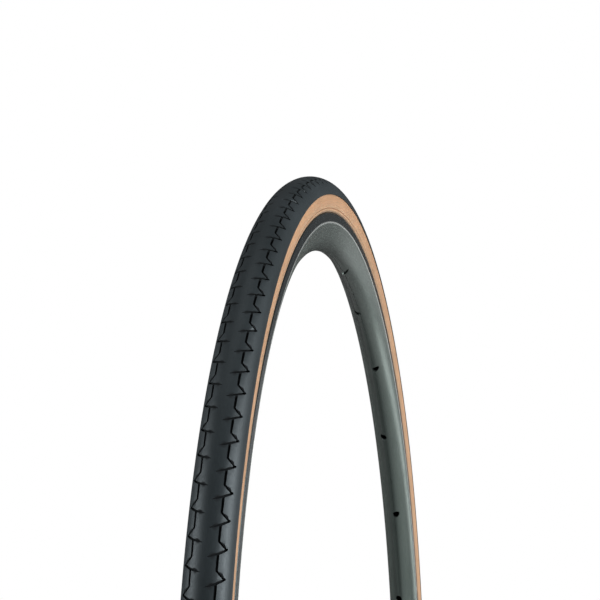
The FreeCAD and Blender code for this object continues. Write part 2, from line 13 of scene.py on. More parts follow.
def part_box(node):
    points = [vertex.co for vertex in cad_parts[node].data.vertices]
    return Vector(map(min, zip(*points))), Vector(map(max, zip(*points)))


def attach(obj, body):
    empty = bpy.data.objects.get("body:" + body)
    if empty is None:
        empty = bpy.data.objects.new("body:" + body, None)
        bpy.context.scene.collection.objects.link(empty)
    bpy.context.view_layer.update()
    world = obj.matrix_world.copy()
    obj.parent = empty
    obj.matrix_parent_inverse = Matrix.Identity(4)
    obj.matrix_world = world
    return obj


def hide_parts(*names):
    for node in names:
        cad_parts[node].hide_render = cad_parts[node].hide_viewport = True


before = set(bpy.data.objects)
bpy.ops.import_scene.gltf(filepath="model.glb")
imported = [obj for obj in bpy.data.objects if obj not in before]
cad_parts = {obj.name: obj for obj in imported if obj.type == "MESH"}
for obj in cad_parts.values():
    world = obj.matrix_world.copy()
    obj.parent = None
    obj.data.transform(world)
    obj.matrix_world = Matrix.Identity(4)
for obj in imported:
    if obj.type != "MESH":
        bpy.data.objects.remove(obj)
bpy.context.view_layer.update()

# ------------------------ studio
# A pale floor under the tire, a white room, and soft boxes to both sides, above and beyond it. The
# camera stands in front of the tread, a little above the tire's middle, and looks up over the hoop.
MM = 0.001
tire_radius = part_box("tread")[1].z

eye = Vector((-1.1023, -0.1935, 0.0678))
gaze = Vector((0.96612, 0.18773, 0.17713))
camera_data = bpy.data.cameras.new("camera")
camera_data.sensor_width = 36.0
camera_data.lens = 113.2
camera_data.clip_start = 0.05
camera = bpy.data.objects.new("camera", camera_data)
camera.location = eye
camera.rotation_mode = "QUATERNION"
camera.rotation_quaternion = gaze.to_track_quat("-Z", "Y")
bpy.context.scene.collection.objects.link(camera)
bpy.context.scene.camera = camera
bpy.context.scene.view_settings.view_transform = "Standard"


def soft_box(name, place, aim, size, power):
    """A rectangular lamp that faces the point it is aimed at."""
    data = bpy.data.lights.new(name, "AREA")
    data.shape = "RECTANGLE"
    data.size, data.size_y = size
    data.energy = power
    lamp = bpy.data.objects.new(name, data)
    lamp.location = place
    lamp.rotation_mode = "QUATERNION"
    lamp.rotation_quaternion = (Vector(aim) - Vector(place)).to_track_quat("-Z", "Y")
    bpy.context.scene.collection.objects.link(lamp)


soft_box("side_box", (-0.35, -2.2, 0.9), (0, 0, 0.1), (1.4, 1.4), 62)
soft_box("top_box", (-0.4, 0.1, 2.4), (0, 0, 0.2), (1.2, 1.2), 4)
soft_box("left_box", (-1.0, 2.0, 0.9), (-0.2, 0, 0.1), (1.2, 1.4), 32)
soft_box("end_box", (2.4, -0.95, 0.3), (0, 0, 0.2), (0.5, 0.8), 0.8)
soft_box("streak_box", (1.85, -1.42, -0.08), (0.2, 0, 0.2), (0.2, 0.42), 1.0)

world = bpy.data.worlds.new("white_room")  # the camera sees white, the tire a dimmer room
world.use_nodes = True
sky = world.node_tree.nodes
sky_link = world.node_tree.links.new
white = (1.0, 1.0, 1.0, 1.0)
sky["Background"].inputs["Color"].default_value = white
sky["Background"].inputs["Strength"].default_value = 0.1
seen = sky.new("ShaderNodeBackground")
seen.inputs["Color"].default_value = white
seen.inputs["Strength"].default_value = 1.0
choice = sky.new("ShaderNodeMixShader")
sky_link(sky.new("ShaderNodeLightPath").outputs["Is Camera Ray"], choice.inputs[0])
sky_link(sky["Background"].outputs[0], choice.inputs[1])
sky_link(seen.outputs[0], choice.inputs[2])
sky_link(choice.outputs[0], sky["World Output"].inputs["Surface"])
bpy.context.scene.world = world

floor_half = 6.0
floor_mesh = bpy.data.meshes.new("floor")
floor_mesh.from_pydata([(x * floor_half, y * floor_half, -tire_radius)
                        for x, y in ((-1, -1), (1, -1), (1, 1), (-1, 1))], [], [(0, 1, 2, 3)])
floor = bpy.data.objects.new("floor", floor_mesh)
bpy.context.scene.collection.objects.link(floor)

floor_paint = bpy.data.materials.new("floor_paint")  # it fades into the white room with distance
floor_paint.use_nodes = True
paint = floor_paint.node_tree.nodes
paint_link = floor_paint.node_tree.links.new
coat = paint["Principled BSDF"]
coat.inputs["Base Color"].default_value = (0.82, 0.82, 0.81, 1)
coat.inputs["Roughness"].default_value = 0.6
coat.inputs["Emission Color"].default_value = white
away = paint.new("ShaderNodeVectorMath")
away.operation = "LENGTH"
paint_link(paint.new("ShaderNodeTexCoord").outputs["Object"], away.inputs[0])
fade = paint.new("ShaderNodeMapRange")
fade.inputs["From Min"].default_value = 0.8
fade.inputs["From Max"].default_value = 2.6
fade.inputs["To Min"].default_value = 0.12
paint_link(away.outputs["Value"], fade.inputs["Value"])
lift = paint.new("ShaderNodeMath")
lift.operation = "MULTIPLY"
paint_link(paint.new("ShaderNodeLightPath").outputs["Is Camera Ray"], lift.inputs[0])
paint_link(fade.outputs["Result"], lift.inputs[1])
paint_link(lift.outputs[0], coat.inputs["Emission Strength"])
floor_mesh.materials.append(floor_paint)

# ------------------------ tread
# The black rubber tread is moulded and vulcanised over the casing. Its shallow grooves are cut by the
# mould: on each side a cross sipe, a line round the tire, and a slant out to the next sipe's tip.


def new_group(name, kind, inputs, outputs):
    """An empty node group with named sockets, and its input and output nodes."""
    group = bpy.data.node_groups.new(name, kind)
    for label, socket, start in inputs:
        made = group.interface.new_socket(name=label, in_out="INPUT", socket_type=socket)
        if start is not None:
            made.default_value = start
    for label, socket in outputs:
        group.interface.new_socket(name=label, in_out="OUTPUT", socket_type=socket)
    return group, group.nodes.new("NodeGroupInput"), group.nodes.new("NodeGroupOutput")


def feed(tree, socket, given):
    """Link a node's input to a socket, or set it to a plain number or a colour."""
    if isinstance(given, bpy.types.NodeSocket):
        tree.links.new(given, socket)
    elif given is not None:
        socket.default_value = (*given, 1) if isinstance(given, tuple) else given


def math_node(tree, operation, first, second=None):
    """A maths node fed by sockets or plain numbers. Gives its result socket."""
    node = tree.nodes.new("ShaderNodeMath")
    node.operation = operation
    feed(tree, node.inputs[0], first)
    feed(tree, node.inputs[1], second)
    return node.outputs[0]


WELD = 0.004 * MM  # closes the joints between bays


def repeat_tree():
    """Copies of one bay turned round an axis through the origin, with one left out for an odd bay."""
    tree, start, end = new_group(
        "bays_round_axis", "GeometryNodeTree",
        [("Bay", "NodeSocketGeometry", None), ("Count", "NodeSocketInt", 12),
         ("Axis", "NodeSocketVector", (0.0, 1.0, 0.0)), ("Left out", "NodeSocketInt", -1),
         ("Odd bay", "NodeSocketObject", None), ("Material", "NodeSocketMaterial", None)],
        [("Geometry", "NodeSocketGeometry")])
    link = tree.links.new
    points = tree.nodes.new("GeometryNodeMeshLine")
    points.inputs["Offset"].default_value = (0, 0, 0)
    link(start.outputs["Count"], points.inputs["Count"])
    index = tree.nodes.new("GeometryNodeInputIndex")
    step = math_node(tree, "DIVIDE", 2 * math.pi, start.outputs["Count"])
    turn = tree.nodes.new("FunctionNodeAxisAngleToRotation")
    link(start.outputs["Axis"], turn.inputs["Axis"])
    link(math_node(tree, "MULTIPLY", index.outputs[0], step), turn.inputs["Angle"])
    kept = tree.nodes.new("FunctionNodeCompare")
    kept.data_type = "INT"
    kept.operation = "NOT_EQUAL"
    whole = [socket for socket in kept.inputs if socket.enabled]
    link(index.outputs[0], whole[0])
    link(start.outputs["Left out"], whole[1])
    copies = tree.nodes.new("GeometryNodeInstanceOnPoints")
    link(points.outputs["Mesh"], copies.inputs["Points"])
    link(start.outputs["Bay"], copies.inputs["Instance"])
    link(turn.outputs[0], copies.inputs["Rotation"])
    link(kept.outputs[0], copies.inputs["Selection"])
    odd = tree.nodes.new("GeometryNodeObjectInfo")
    link(start.outputs["Odd bay"], odd.inputs["Object"])
    joined = tree.nodes.new("GeometryNodeJoinGeometry")
    link(copies.outputs[0], joined.inputs[0])
    link(odd.outputs["Geometry"], joined.inputs[0])
    real = tree.nodes.new("GeometryNodeRealizeInstances")
    link(joined.outputs[0], real.inputs[0])
    weld = tree.nodes.new("GeometryNodeMergeByDistance")
    weld.inputs["Distance"].default_value = WELD
    link(real.outputs[0], weld.inputs["Geometry"])
    finish = tree.nodes.new("GeometryNodeSetMaterial")
    link(weld.outputs[0], finish.inputs["Geometry"])
    link(start.outputs["Material"], finish.inputs["Material"])
    link(finish.outputs[0], end.inputs["Geometry"])
    return tree


bays_round_axis = repeat_tree()
WHEEL_AXIS = (0.0, 1.0, 0.0)


def new_piece(name, points, faces):
    """An object with a mesh of these points, in metres, and faces."""
    mesh = bpy.data.meshes.new(name)
    mesh.from_pydata([tuple(p) for p in points], [], faces)
    piece = bpy.data.objects.new(name, mesh)
    bpy.context.scene.collection.objects.link(piece)
    return piece


def repeat_bay(piece, count, axis, material, crease=35, left_out=-1, odd_bay=None):
    """Run the repeat tree on a piece that holds one bay, and keep the plain mesh it gives, with
    edges sharper than crease degrees left hard."""
    sockets = {item.name: item.identifier for item in bays_round_axis.interface.items_tree
               if item.in_out == "INPUT"}
    modifier = piece.modifiers.new("bays", "NODES")
    modifier.node_group = bays_round_axis
    modifier[sockets["Count"]] = count
    modifier[sockets["Axis"]] = axis
    modifier[sockets["Left out"]] = left_out
    modifier[sockets["Odd bay"]] = odd_bay
    modifier[sockets["Material"]] = material
    for bay in (piece, odd_bay):
        if bay:
            bay.data.materials.append(material)
    graph = bpy.context.evaluated_depsgraph_get()
    mesh = bpy.data.meshes.new_from_object(piece.evaluated_get(graph), depsgraph=graph)
    piece.modifiers.clear()
    old = piece.data
    piece.data = mesh
    mesh.name = piece.name
    bpy.data.meshes.remove(old)
    mesh.shade_smooth()
    mesh.set_sharp_from_angle(angle=math.radians(crease))
    return piece


def on_hoop(along, across, out):
    """A point of the hoop: along is the angle from the top towards +X, across and out in mm."""
    return (out * math.sin(along) * MM, across * MM, out * math.cos(along) * MM)


PITCHES = 158
TREAD_REACH = math.radians(87)  # how far the tread goes down each side of its section
TREAD_THICKNESS = 2.6
crown_radius = tire_radius / MM
tread_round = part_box("tread")[1].y / MM / math.sin(TREAD_REACH)
tread_centre = crown_radius - tread_round
casing_round = 10.35
casing_centre = crown_radius - TREAD_THICKNESS - casing_round
tread_half = TREAD_REACH * tread_round  # arc from the crown to the tread's edge
edge_out = tread_centre + tread_round * math.cos(TREAD_REACH)
edge_across = tread_round * math.sin(TREAD_REACH)
pitch = 2 * math.pi * crown_radius / PITCHES

GROOVE_DEPTH = 1.3
GROOVE_WALL = 0.13
FINEST = 0.02  # least radius of a groove's floor
PATTERN_START = 0.416  # of the first sipe, in pitches from the top
SIPE_TAIL = (-1.8, 1.5, 0.42)  # along from the sipe's bend, across from the crown, width
SIPE_BEND = (0.0, 6.1, 1.2)
SIPE_TIP = (2.45, 9.85, 0.95)
LINE_KNEE = (-7.7, 6.0, 1.1)
LAST_TIP = (SIPE_TIP[0] - pitch, SIPE_TIP[1], 0.8)
TIP_DOT = ((2.9, 10.2, 1.15), (2.91, 10.2, 1.15))


def groove_lines():
    """Each groove of one pitch as (x, y, width) to (x, y, width): x along the tire, y across it."""
    grooves = ((SIPE_TAIL, SIPE_BEND), (SIPE_BEND, SIPE_TIP), (SIPE_BEND, LINE_KNEE),
               (LINE_KNEE, LAST_TIP), TIP_DOT)
    return [tuple((start + x, side * y, width) for x, y, width in groove)
            for side, start in ((-1, PATTERN_START * pitch), (1, (PATTERN_START + 0.5) * pitch))
            for groove in grooves]


def line_distance(points, first, last):
    """How far inside a groove's edge each point lies, in mm, and the groove's half width there."""
    a, b = np.array(first[:2]), np.array(last[:2])
    way = b - a
    share = np.clip(((points - a) @ way) / (way @ way), 0, 1)
    half = (first[2] + (last[2] - first[2]) * share) / 2
    return half - np.hypot(*(points - a - share[:, None] * way).T), half


def groove_outline(first, last, inset, corners):
    """A closed loop round a groove, inset from its edge, with rounded ends."""
    a, b = np.array(first[:2]), np.array(last[:2])
    heading = math.atan2(*(b - a)[::-1])
    loop = []
    for centre, width, turn in ((b, last[2], -math.pi / 2), (a, first[2], math.pi / 2)):
        radius = max(width / 2 - inset, FINEST)
        for number in range(corners):
            angle = heading + turn + math.pi * number / (corners - 1)
            loop.append((centre[0] + radius * math.cos(angle), centre[1] + radius * math.sin(angle)))
    return loop


def add_line(flat, edges, points, closed=False):
    """Add a chain of points and the edges between them to a flat plan."""
    first = len(flat)
    flat.extend(points)
    edges.extend((first + n, first + n + 1) for n in range(len(points) - 1))
    if closed:
        edges.append((len(flat) - 1, first))


TREAD_COLUMNS = 6  # the even grid of one pitch
TREAD_ROWS = 32
CASING_ROWS = 14  # of the face bonded to the casing
SEAM_GAP = 0.2  # between a groove and the grid, at the joint of two pitches
GRID_GAP = 0.35  # and inside the pitch
FULL_DEPTH_HALF = 0.4  # a groove with a smaller half width is shallower
DRAWN_PAST = 1.0  # how far past the pitch a groove is still drawn
DOT_LENGTH = 0.1  # a groove shorter than this is a round dot
PLAN_TOLERANCE = 1e-5


def tread_bay():
    """One pitch of the tread: the grooved face, its two edges and the face bonded to the casing."""
    lines = [((f[0] + shift, f[1], f[2]), (l[0] + shift, l[1], l[2]))
             for shift in (-pitch, 0, pitch) for f, l in groove_lines()]
    columns = [pitch * number / TREAD_COLUMNS for number in range(TREAD_COLUMNS + 1)]
    rows = np.linspace(-tread_half, tread_half, TREAD_ROWS + 1)
    flat = []
    edges = []

    def clear(x, y, gap):
        return max(line_distance(np.array([(x, y)]), *line)[0][0] for line in lines) < -gap

    for x in (0.0, pitch):
        add_line(flat, edges, [(x, y) for y in rows if abs(y) == tread_half or clear(x, y, SEAM_GAP)])
    for y in (rows[0], rows[-1]):
        add_line(flat, edges, [(x, y) for x in columns])
    flat.extend((x, y) for x in columns[1:-1] for y in rows[1:-1] if clear(x, y, GRID_GAP))
    for first, last in lines:
        reach = [first[0], last[0]]
        if max(reach) < -DRAWN_PAST or min(reach) > pitch + DRAWN_PAST:
            continue
        corners = 5 if max(reach) - min(reach) < DOT_LENGTH else 4
        add_line(flat, edges, groove_outline(first, last, 0, corners), True)
        add_line(flat, edges, groove_outline(first, last, GROOVE_WALL, corners - 1), True)
    found = delaunay_2d_cdt([Vector(p) for p in flat], edges, [], 0, PLAN_TOLERANCE, False)
    spots = np.array([tuple(p) for p in found[0]])
    depth = np.zeros(len(spots))
    for line in lines:
        inside, half = line_distance(spots, *line)
        full = GROOVE_DEPTH * np.clip(half / FULL_DEPTH_HALF, 0.35, 1)
        depth = np.maximum(depth, full * np.clip(inside / GROOVE_WALL, 0, 1))
    points = []
    for (x, y), down in zip(spots, depth):
        tilt = y / tread_round
        reach = tread_round - down
        points.append(on_hoop(x / crown_radius, reach * math.sin(tilt),
                              tread_centre + reach * math.cos(tilt)))
    faces = []
    for face in found[2]:
        middle = spots[list(face)].mean(0)
        if 1e-4 < middle[0] < pitch - 1e-4 and abs(middle[1]) < tread_half:
            faces.append(tuple(face))
    top = math.acos((edge_out - casing_centre) / casing_round)
    back = [(-edge_across, edge_out)]
    back += [(casing_round * math.sin(a), casing_centre + casing_round * math.cos(a))
             for a in np.linspace(-top, top, CASING_ROWS + 1)]
    back.append((edge_across, edge_out))
    base = len(points)
    for x in columns:
        points += [on_hoop(x / crown_radius, across, out) for across, out in back]
    rank = len(back)
    for column in range(TREAD_COLUMNS):
        for row in range(rank - 1):
            a = base + column * rank + row
            faces.append((a, a + 1, a + rank + 1, a + rank))
    return points, faces


def mixed(tree, share, first, last, blend="MIX"):
    """A colour between two, by a share from 0 to 1."""
    node = tree.nodes.new("ShaderNodeMix")
    node.data_type = "RGBA"
    node.blend_type = blend
    for place, given in ((0, share), (6, first), (7, last)):  # the factor, and the two colours
        feed(tree, node.inputs[place], given)
    return node.outputs[2]


def noise(tree, where, scale, detail=3.0, rough=0.5):
    """A noise texture's value at a place, with its scale in turns a metre."""
    node = tree.nodes.new("ShaderNodeTexNoise")
    for label, given in (("Vector", where), ("Scale", scale), ("Detail", detail), ("Roughness", rough)):
        feed(tree, node.inputs[label], given)
    return node.outputs[0]


def stretched(tree, value, low, high, new_low=0.0, new_high=1.0):
    """Map a value's range to another, clamped."""
    node = tree.nodes.new("ShaderNodeMapRange")
    tree.links.new(value, node.inputs[0])
    for place, number in enumerate((low, high, new_low, new_high), start=1):
        node.inputs[place].default_value = number
    return node.outputs[0]


def rubber_skin_group():
    """The fine pebbled skin and cloudy bloom of moulded rubber."""
    group, start, end = new_group(
        "rubber_skin", "ShaderNodeTree",
        [("Grain", "NodeSocketFloat", 900.0), ("Cloud", "NodeSocketFloat", 28.0)],
        [("Height", "NodeSocketFloat"), ("Bloom", "NodeSocketFloat"), ("Speckle", "NodeSocketFloat")])
    where = group.nodes.new("ShaderNodeTexCoord").outputs["Object"]
    fine = noise(group, where, start.outputs["Grain"], 2.0, 0.6)
    cloud = noise(group, where, start.outputs["Cloud"], 4.0, 0.55)
    group.links.new(fine, end.inputs["Height"])
    group.links.new(stretched(group, cloud, 0.35, 0.68), end.inputs["Bloom"])
    group.links.new(stretched(group, fine, 0.4, 0.75), end.inputs["Speckle"])
    return group


rubber_skin = rubber_skin_group()


def new_material(name, base, roughness, metallic=0.0):
    """A material, its node tree and its surface shader."""
    material = bpy.data.materials.new(name)
    material.use_nodes = True
    surface = material.node_tree.nodes["Principled BSDF"]
    surface.inputs["Base Color"].default_value = (*base, 1)
    surface.inputs["Roughness"].default_value = roughness
    surface.inputs["Metallic"].default_value = metallic
    return material, material.node_tree, surface


def placed(tree, group, **values):
    """A node group in a material, with its own values."""
    node = tree.nodes.new("ShaderNodeGroup")
    node.node_tree = group
    for label, number in values.items():
        node.inputs[label].default_value = number
    return node


def bumped(tree, surface, height, distance, strength):
    """Raise a surface's normal by a height from 0 to 1, over a distance in metres."""
    node = tree.nodes.new("ShaderNodeBump")
    node.inputs["Strength"].default_value = strength
    node.inputs["Distance"].default_value = distance
    tree.links.new(height, node.inputs["Height"])
    tree.links.new(node.outputs[0], surface.inputs["Normal"])


def length_of(tree, first, second):
    """The length of a line whose two parts are given."""
    squares = [math_node(tree, "MULTIPLY", part, part) for part in (first, second)]
    return math_node(tree, "SQRT", math_node(tree, "ADD", *squares))


def wheel_place_group():
    """Where a point is on the wheel: its distance from the axis and the middle plane, in metres, and
    how far round it lies from the top, in radians."""
    group, _, end = new_group(
        "wheel_place", "ShaderNodeTree", [],
        [("Out", "NodeSocketFloat"), ("Turn", "NodeSocketFloat"), ("Across", "NodeSocketFloat")])
    parts = group.nodes.new("ShaderNodeSeparateXYZ")
    group.links.new(group.nodes.new("ShaderNodeTexCoord").outputs["Object"], parts.inputs[0])
    x, y, z = parts.outputs
    group.links.new(length_of(group, x, z), end.inputs["Out"])
    group.links.new(math_node(group, "ARCTAN2", x, z), end.inputs["Turn"])
    group.links.new(math_node(group, "ABSOLUTE", y), end.inputs["Across"])
    return group


wheel_place = wheel_place_group()


def band(tree, value, middle, width):
    """1 on a line and 0 away from it, over a width to each side."""
    away = math_node(tree, "ABSOLUTE", math_node(tree, "SUBTRACT", value, middle))
    return stretched(tree, away, 0.0, width, 1.0, 0.0)


GROOVE_SHADE = (0.18, 0.03)  # depths at which a groove's painted shade is full, and none


def tread_rubber():
    """Black rubber, with matt grooves and painted shade darkening them."""
    material, tree, surface = new_material("tread_rubber", (0.02, 0.024, 0.026), 0.5)
    skin = placed(tree, rubber_skin, Grain=1500.0, Cloud=22.0)
    place = placed(tree, wheel_place)
    out = math_node(tree, "SUBTRACT", place.outputs["Out"], tread_centre * MM)
    height = length_of(tree, out, place.outputs["Across"])
    dark, plain = ((tread_round - depth) * MM for depth in GROOVE_SHADE)
    in_groove = stretched(tree, height, dark, plain)
    rubber = mixed(tree, skin.outputs["Bloom"], (0.014, 0.0195, 0.022), (0.023, 0.030, 0.034))
    # painted shade: a groove's colour goes near black with its depth
    tree.links.new(mixed(tree, in_groove, (0.002, 0.0025, 0.003), rubber), surface.inputs["Base Color"])
    surface.inputs["Specular Tint"].default_value = (0.82, 0.94, 1.0, 1.0)
    skin_rough = stretched(tree, skin.outputs["Speckle"], 0, 1, 0.44, 0.6)
    groove_rough = stretched(tree, in_groove, 0, 1, 1.0, 0.0)
    tree.links.new(math_node(tree, "MAXIMUM", skin_rough, groove_rough), surface.inputs["Roughness"])
    bumped(tree, surface, skin.outputs["Height"], 0.06 * MM, 0.5)
    return material


tread = new_piece("grooved_tread", *tread_bay())
repeat_bay(tread, PITCHES, WHEEL_AXIS, tread_rubber(), crease=38)
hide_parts("tread")
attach(tread, "rim_and_tire")

# ------------------------ sidewalls
# Each tan gum sidewall is a thin rubber skin calendered over the casing's cords, which show through
# it as fine slanting ribs. It runs from the tread's edge to the chafer above the rim.
WEDGES = 360
SKIN = 0.65  # thickness over the casing
RIB_HEIGHT = 0.09
RIB_PLACE = 0.12  # and width, as shares of the way down the sidewall
RIB_WIDTH = 0.028
seat = crown_radius - 25.0  # bead seat of the rim
sidewall_round = casing_round + SKIN
strip_out = seat + 8.2  # upper edge of the chafer
flange_out = seat + 4.0


def loop_faces(rank, columns, ring=False):
    """Faces from each column of points to the next. A column is a closed loop of rank points, and in
    a ring the last column joins the first."""
    faces = []
    for column in range(columns):
        low = column * rank
        high = (column + 1) % columns * rank if ring else low + rank
        faces += [(low + row, high + row, high + (row + 1) % rank, low + (row + 1) % rank)
                  for row in range(rank)]
    return faces


def wedge(rows, count):
    """One bay of a hoop whose section is a closed loop of (across, out) rows, listed clockwise as
    seen along +X at the top, so that its faces point outwards."""
    points = [on_hoop(turn, across, out) for turn in (0, 2 * math.pi / count) for across, out in rows]
    return points, loop_faces(len(rows), 1)


def arc_rows(centre_across, centre_out, radius, start, end, steps):
    """Rows on an arc. Angles are in degrees from straight out, towards +Y."""
    return [(centre_across + radius * math.sin(a), centre_out + radius * math.cos(a))
            for a in np.radians(np.linspace(start, end, steps))]


def section_angle(out, radius):
    """Where an arc about the casing's centre comes to a distance from the axis, in degrees."""
    return math.degrees(math.acos((out - casing_centre) / radius))


def sidewall_rows():
    """The +Y sidewall's section, with a moulded rib below the tread."""
    start, end = section_angle(edge_out, sidewall_round), section_angle(strip_out, sidewall_round)
    rows = []
    for angle in np.linspace(start, end, 42):
        below = (angle - start) / (end - start)
        rib = RIB_HEIGHT * math.exp(-((below - RIB_PLACE) / RIB_WIDTH) ** 2)
        rows += arc_rows(0, casing_centre, sidewall_round + rib, angle, angle, 1)
    back = arc_rows(0, casing_centre, casing_round, section_angle(strip_out, casing_round),
                    section_angle(edge_out, casing_round), 10)
    return rows + back


def mirrored_rows(rows):
    """The same section on the wheel's other side, still listed clockwise."""
    return [(-across, out) for across, out in rows[::-1]]


def cord_weave_group():
    """Slanting ribs of casing cords under rubber: two crossed plies, one fainter."""
    group, start, end = new_group(
        "cord_weave", "ShaderNodeTree", [("Ribs", "NodeSocketFloat", 1800.0)],
        [("Height", "NodeSocketFloat"), ("Thread", "NodeSocketFloat")])
    where = group.nodes.new("ShaderNodeTexCoord").outputs["Object"]
    place = placed(group, wheel_place)
    wobble = math_node(group, "MULTIPLY", noise(group, where, 120.0), 2.2)
    phase = math_node(group, "MULTIPLY", place.outputs["Turn"], start.outputs["Ribs"])
    slant = math_node(group, "MULTIPLY", place.outputs["Out"], 5400.0)
    crossed = math_node(group, "ADD", phase, slant)
    first = math_node(group, "SINE", math_node(group, "ADD", crossed, wobble))
    second = math_node(group, "SINE", math_node(group, "SUBTRACT", phase, slant))
    both = math_node(group, "ADD", first, math_node(group, "MULTIPLY", second, 0.35))
    group.links.new(both, end.inputs["Height"])
    group.links.new(stretched(group, both, -1.35, 1.35), end.inputs["Thread"])
    return group


cord_weave = cord_weave_group()


def gum_rubber(name, pale, deep, ribs_depth):
    """Cloudy gum with faint cords, a moulded line, painted shade where it meets the rim, and a dark
    edge at the tread.
    """
    material, tree, surface = new_material(name, pale, 0.5)
    skin = placed(tree, rubber_skin, Grain=700.0, Cloud=45.0)
    weave = placed(tree, cord_weave, Ribs=1800.0)
    cloudy = mixed(tree, skin.outputs["Bloom"], pale, deep)
    cords = mixed(tree, weave.outputs["Thread"], (0.82, 0.78, 0.74), (1.0, 1.0, 1.0))
    shaded = mixed(tree, 0.22, cloudy, cords, "MULTIPLY")
    place = placed(tree, wheel_place)
    line = band(tree, place.outputs["Out"], (seat + 6.5) * MM, 0.42 * MM)
    lined = mixed(tree, line, shaded, (0.27, 0.13, 0.065))
    # painted shade: the gum darkens down to the rim's flange, in the crevice between them
    painted_rim_shade = stretched(tree, place.outputs["Out"], flange_out * MM, (flange_out + 1.6) * MM)
    gum = mixed(tree, painted_rim_shade, (0.09, 0.065, 0.045), lined)
    stained = stretched(tree, place.outputs["Out"], (edge_out - 0.55) * MM, (edge_out - 0.05) * MM)
    tree.links.new(mixed(tree, stained, gum, (0.2, 0.125, 0.08)), surface.inputs["Base Color"])
    rough = stretched(tree, skin.outputs["Speckle"], 0, 1, 0.42, 0.58)
    tree.links.new(rough, surface.inputs["Roughness"])
    surface.inputs["Subsurface Weight"].default_value = 0.08
    surface.inputs["Subsurface Radius"].default_value = (0.002, 0.001, 0.0006)
    bumped(tree, surface, weave.outputs["Height"], ribs_depth, 0.4)
    return material


tan_gum = gum_rubber("tan_gum", (0.53, 0.31, 0.175), (0.43, 0.247, 0.136), 0.02 * MM)
for name, node, rows in (("gum_sidewall_left", "sidewall_left", sidewall_rows()),
                         ("gum_sidewall_right", "sidewall_right", mirrored_rows(sidewall_rows()))):
    sidewall = new_piece(name, *wedge(rows, WEDGES))
    repeat_bay(sidewall, WEDGES, WHEEL_AXIS, tan_gum)
    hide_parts(node)
    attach(sidewall, "rim_and_tire")

# ------------------------ chafers
# A rubbered cloth strip wraps each bead where the rim would rub. Its edge shows above the rim as a
# slightly paler band with a moulded line, and its foot is pressed down inside the flange.
RIDGE_HEIGHT = 0.1
rim_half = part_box("rim")[1].y / MM - RIDGE_HEIGHT  # across the brake track


def chafer_rows():
    """The +Y chafer's section: down its outside, round the bead's heel and toe, and back up."""
    strip_across = math.sqrt(sidewall_round ** 2 - (strip_out - casing_centre) ** 2)
    heel = rim_half - 1.5
    return [(strip_across, strip_out), (10.19, seat + 7.5), (10.08, seat + 6.9), (10.05, seat + 6.72),
            (9.86, seat + 6.6), (9.84, seat + 6.42), (10.0, seat + 6.3), (9.98, seat + 6.1),
            (9.92, seat + 5.75), (9.88, seat + 5.4), (9.8, seat + 5.0), (9.7, seat + 4.7),
            (9.58, seat + 4.52), (9.3, flange_out + 0.3), (8.85, flange_out + 0.02), (heel, seat + 3.7),
            (heel, seat + 0.2), (heel - 0.15, seat + 0.05), (4.95, seat + 0.05), (4.8, seat + 0.2),
            (4.8, seat + 1.6), (5.2, seat + 1.6), (5.2, seat + 0.45), (8.0, seat + 0.45),
            (8.0, seat + 4.2), (9.607, strip_out)]


pale_gum = gum_rubber("pale_gum", (0.52, 0.325, 0.195), (0.43, 0.27, 0.155), 0.02 * MM)
for name, node, rows in (("chafer_strip_left", "chafer_left", chafer_rows()),
                         ("chafer_strip_right", "chafer_right", mirrored_rows(chafer_rows()))):
    chafer = new_piece(name, *wedge(rows, WEDGES))
    repeat_bay(chafer, WEDGES, WHEEL_AXIS, pale_gum)
    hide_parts(node)
    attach(chafer, "rim_and_tire")

# ------------------------ rim
# An aluminium box section, extruded, rolled to a hoop, pinned at its seam and anodised dark grey. A
# fine ridge, with a painted highlight along it, marks the lower edge of each brake track. Spoke holes
# are drilled in the nose, turn about to the left and the right, with access holes above them, and one
# hole for the valve.
SPOKES = 28
RIM_BAYS = SPOKES // 2
BAY_SPAN = 2 * math.pi / RIM_BAYS
RIM_DEPTH = 17.5  # from the bead seat to the nose
NOSE_ROUND = 3.1
WALL_ANGLE = math.radians(76)
WALL = 1.4
FLANGE = 1.45
FLANGE_ROUND = 0.6
BED_HALF = 4.6  # half width of the well at the bead seat, and at its floor
WELL_HALF = 3.7
WELL_DEPTH = 2.6
CAVITY_HALF = 7.75  # half width of the hollow, and how far below the bead seat its side starts
CAVITY_SIDE = 2.9
ridge = (rim_half + RIDGE_HEIGHT, seat - 1.5)
nose_centre = seat - RIM_DEPTH + NOSE_ROUND
rise = ridge[1] - nose_centre
wall_round = ((ridge[0] ** 2 + rise ** 2 - NOSE_ROUND ** 2)
              / (2 * (ridge[0] * math.sin(WALL_ANGLE) - rise * math.cos(WALL_ANGLE) - NOSE_ROUND)))
wall_centre = (ridge[0] - wall_round * math.sin(WALL_ANGLE),
               ridge[1] + wall_round * math.cos(WALL_ANGLE))
wall_start = 180.5 - math.degrees(WALL_ANGLE)
wall_end = math.degrees(math.atan2(-wall_centre[0], nose_centre - wall_centre[1]))


def rim_outer_rows():
    """Round the outside, from the left flange's top, under the nose, and back over the bed."""
    top = flange_out - FLANGE_ROUND
    half = arc_rows(rim_half - FLANGE_ROUND, top, FLANGE_ROUND, 0, 90, 5)
    half += [(rim_half, seat + 1.5), (rim_half, ridge[1] + 0.32), (rim_half + 0.03, ridge[1] + 0.2),
             (ridge[0], ridge[1] + 0.1), ridge, (rim_half + 0.03, ridge[1] - 0.14)]
    half += arc_rows(*wall_centre, wall_round, wall_start, wall_end, 14)
    half += arc_rows(0, nose_centre, NOSE_ROUND, wall_end, 180, 8)[1:]
    inner = arc_rows(rim_half - FLANGE + FLANGE_ROUND, top, FLANGE_ROUND, 0, -90, 4)
    inner += [(rim_half - FLANGE, seat), (BED_HALF, seat), (WELL_HALF, seat - WELL_DEPTH)]
    return half + mirrored_rows(half)[1:] + [(-across, out) for across, out in inner] + inner[::-1]


